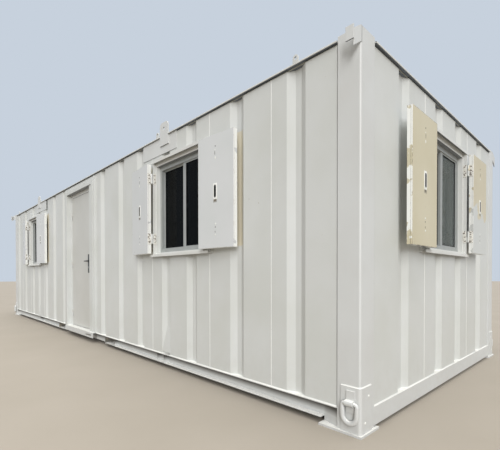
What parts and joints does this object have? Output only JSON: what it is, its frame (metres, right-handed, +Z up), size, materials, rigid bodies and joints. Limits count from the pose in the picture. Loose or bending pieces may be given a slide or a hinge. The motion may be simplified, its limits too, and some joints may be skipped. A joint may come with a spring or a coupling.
{
  "type": "portable site cabin",
  "caption": "Portable steel site cabin with a corrugated off-white skin, one outward-opening door, shuttered sliding windows, lifting eyes, lashing rings and fork pockets.",
  "frame": {"origin": "on the ground, under the middle of the whole outline with the shutters folded back", "axes": "+Z up, -Y out of the front with the door, +X out of the end with the window"},
  "size_m": [9.8716, 3.227, 2.572],
  "materials": {
    "white_steel": "brushed and rolled gloss over old coats",
    "shutter_steel": "satin, chipped at the edges",
    "cream_steel": "old satin coat, chipped",
    "window_aluminium": "mill, dulled",
    "window_glass": "clear, dark room behind",
    "dark_handle": "satin",
    "floor_ply": "worn",
    "inner_lining": "matt painted board"
  },
  "bodies": {
    "cabin": {"ceiling_panel": "inner_lining", "corner_cover_plates": "white_steel", "corner_guides": "white_steel", "corner_posts": "white_steel", "door_frame": "white_steel", "door_head_panel": "white_steel", "door_hinges": "white_steel", "door_jamb_panels": "white_steel", "door_sill": "white_steel", "end_window_frame": "window_aluminium", "end_window_surround": "white_steel", "floor_deck": "floor_ply", "floor_joists": "white_steel", "fork_pockets": "white_steel", "front_left_window_frame": "window_aluminium", "front_left_window_surround": "white_steel", "front_rail": "white_steel", "front_right_window_frame": "window_aluminium", "front_right_window_surround": "white_steel", "front_wall_left": "white_steel", "front_wall_right": "white_steel", "left_end_rail": "white_steel", "left_end_wall": "white_steel", "lifting_lugs": "white_steel", "rear_rail": "white_steel", "rear_wall": "white_steel", "right_end_rail": "white_steel", "right_end_wall": "white_steel", "roof_edge_trim": "white_steel", "roof_panel": "white_steel", "window_glass": "window_glass", "window_sashes": "window_aluminium"},
    "door": {"door_leaf": "white_steel", "door_handle_plates": "dark_handle"},
    "door_handle": {"door_lever": "dark_handle"},
    "front_right_window_right_leaf": {"front_right_window_right_shutter": "shutter_steel"},
    "front_right_window_left_leaf": {"front_right_window_left_shutter": "shutter_steel"},
    "front_left_window_right_leaf": {"front_left_window_right_shutter": "shutter_steel"},
    "front_left_window_left_leaf": {"front_left_window_left_shutter": "shutter_steel"},
    "end_window_right_leaf": {"end_window_right_shutter": "cream_steel"},
    "end_window_left_leaf": {"end_window_left_shutter": "cream_steel"},
    "front_right_lashing": {"front_right_ring": "white_steel"},
    "front_left_lashing": {"front_left_ring": "white_steel"},
    "rear_left_lashing": {"rear_left_ring": "white_steel"},
    "rear_right_lashing": {"rear_right_ring": "white_steel"}
  },
  "joints": [
    {"name": "door_hinge", "type": "hinge", "parent": "cabin", "child": "door", "pos_m": [-0.67075, -1.47654, 0.156], "axis": [0, 0, -1], "range_deg": [0, 100]},
    {"name": "handle_turn", "type": "hinge", "parent": "door", "child": "door_handle", "pos_m": [0.10025, -1.46754, 1.192], "axis": [0, -1, 0], "range_deg": [0, 40], "stiffness_Nm_per_rad": 2, "springref_deg": -20.05},
    {"name": "front_right_window_right_shutter_hinge", "type": "hinge", "parent": "cabin", "child": "front_right_window_right_leaf", "pos_m": [3.25725, -1.57154, 1.207], "axis": [0, 0, 1], "range_deg": [-184.5, 0]},
    {"name": "front_right_window_left_shutter_hinge", "type": "hinge", "parent": "cabin", "child": "front_right_window_left_leaf", "pos_m": [2.33125, -1.57154, 1.207], "axis": [0, 0, -1], "range_deg": [-184.5, 0]},
    {"name": "front_left_window_right_shutter_hinge", "type": "hinge", "parent": "cabin", "child": "front_left_window_right_leaf", "pos_m": [-2.41275, -1.57154, 1.207], "axis": [0, 0, 1], "range_deg": [-184.5, 0]},
    {"name": "front_left_window_left_shutter_hinge", "type": "hinge", "parent": "cabin", "child": "front_left_window_left_leaf", "pos_m": [-3.33875, -1.57154, 1.207], "axis": [0, 0, -1], "range_deg": [-184.5, 0]},
    {"name": "end_window_right_shutter_hinge", "type": "hinge", "parent": "cabin", "child": "end_window_right_leaf", "pos_m": [4.89025, 0.37546, 1.189], "axis": [0, 0, 1], "range_deg": [-180, 0]},
    {"name": "end_window_left_shutter_hinge", "type": "hinge", "parent": "cabin", "child": "end_window_left_leaf", "pos_m": [4.89025, -0.55054, 1.189], "axis": [0, 0, -1], "range_deg": [-180, 0]},
    {"name": "front_right_ring_pivot", "type": "hinge", "parent": "cabin", "child": "front_right_lashing", "pos_m": [4.77625, -1.54204, 0.2], "axis": [-1, 0, 0], "range_deg": [0, 150]},
    {"name": "front_left_ring_pivot", "type": "hinge", "parent": "cabin", "child": "front_left_lashing", "pos_m": [-4.85775, -1.54204, 0.2], "axis": [-1, 0, 0], "range_deg": [0, 150]},
    {"name": "rear_left_ring_pivot", "type": "hinge", "parent": "cabin", "child": "rear_left_lashing", "pos_m": [-4.85775, 1.55496, 0.2], "axis": [1, 0, 0], "range_deg": [0, 150]},
    {"name": "rear_right_ring_pivot", "type": "hinge", "parent": "cabin", "child": "rear_right_lashing", "pos_m": [4.77625, 1.55496, 0.2], "axis": [1, 0, 0], "range_deg": [0, 150]}
  ]
}
